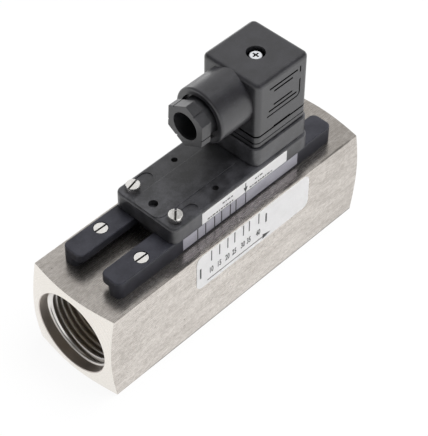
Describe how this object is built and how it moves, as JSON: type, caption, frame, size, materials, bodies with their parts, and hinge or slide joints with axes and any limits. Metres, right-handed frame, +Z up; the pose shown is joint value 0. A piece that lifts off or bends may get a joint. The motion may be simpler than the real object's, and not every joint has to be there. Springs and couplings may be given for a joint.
{
  "type": "variable area flow switch",
  "caption": "Square metal flow body with pipe threads, a sprung magnetic float inside, and a reed switch housing with cable plug that slides on rails along its top.",
  "frame": {"origin": "middle of the flow body's flat bottom face", "axes": "+X is the flow direction along the bore, from the inlet to the outlet; +Y points away from the side with the labels; +Z is up, towards the rails and the plug"},
  "size_m": [0.1334, 0.0402, 0.0926],
  "materials": {
    "nickel_plate": "nickel plated brass, brushed along its length",
    "rail_plastic": "black moulded plastic, fine satin grain",
    "housing_plastic": "black moulded plastic, fine satin grain",
    "hood_plastic": "black moulded plastic, fine satin grain",
    "gland_plastic": "black moulded plastic, slightly glossy",
    "screw_steel": "zinc plated steel",
    "strip_foil": "silver foil with printed lines",
    "label_film": "white film with printed marks",
    "stainless": "turned stainless steel",
    "turned_brass": "turned brass",
    "spring_steel": "drawn spring wire",
    "magnet": "sintered magnet, dark grey",
    "seal_rubber": "black rubber",
    "contact_metal": "tinned brass",
    "reed_glass": "clear green glass",
    "board": "green laminate",
    "block_plastic": "grey moulded plastic"
  },
  "bodies": {
    "body": {"flow_body": "nickel_plate", "rail_left": "rail_plastic", "rail_right": "rail_plastic", "rail_screws": "screw_steel", "scale_strip": "strip_foil", "flow_label": "label_film", "slotted_nozzle": "turned_brass", "inlet_ring": "spring_steel", "spring_seat": "stainless", "seat_ring": "spring_steel", "return_spring": "spring_steel"},
    "float": {"float_body": "stainless", "float_magnet": "magnet", "magnet_plug": "stainless"},
    "switch": {"switch_housing": "housing_plastic", "housing_label": "label_film", "clamp_screws": "screw_steel", "threaded_inserts": "turned_brass", "base_cover": "housing_plastic", "cover_screws": "screw_steel", "reed_board": "board", "reed_capsule": "reed_glass", "reed_blades": "contact_metal", "connector_base": "housing_plastic", "base_screws": "screw_steel", "contact_blades": "contact_metal"},
    "plug": {"profile_gasket": "seal_rubber", "plug_hood": "hood_plastic", "terminal_block": "block_plastic", "terminal_sockets": "contact_metal", "terminal_screws": "screw_steel", "hood_screw": "screw_steel", "hood_screw_seal": "seal_rubber", "gland_nut": "gland_plastic", "gland_washer": "block_plastic", "gland_grommet": "seal_rubber"}
  },
  "joints": [
    {"name": "float_slide", "type": "slide", "parent": "body", "child": "float", "axis": [1, 0, 0], "range_m": [0, 0.034], "stiffness_N_per_m": 40, "springref_m": -0.02, "deforming": ["return_spring"]},
    {"name": "switch_slide", "type": "slide", "parent": "body", "child": "switch", "axis": [1, 0, 0], "range_m": [-0.024, 0.012]},
    {"name": "plug_pull", "type": "slide", "parent": "switch", "child": "plug", "axis": [0, 0, 1], "range_m": [0, 0.02]}
  ]
}
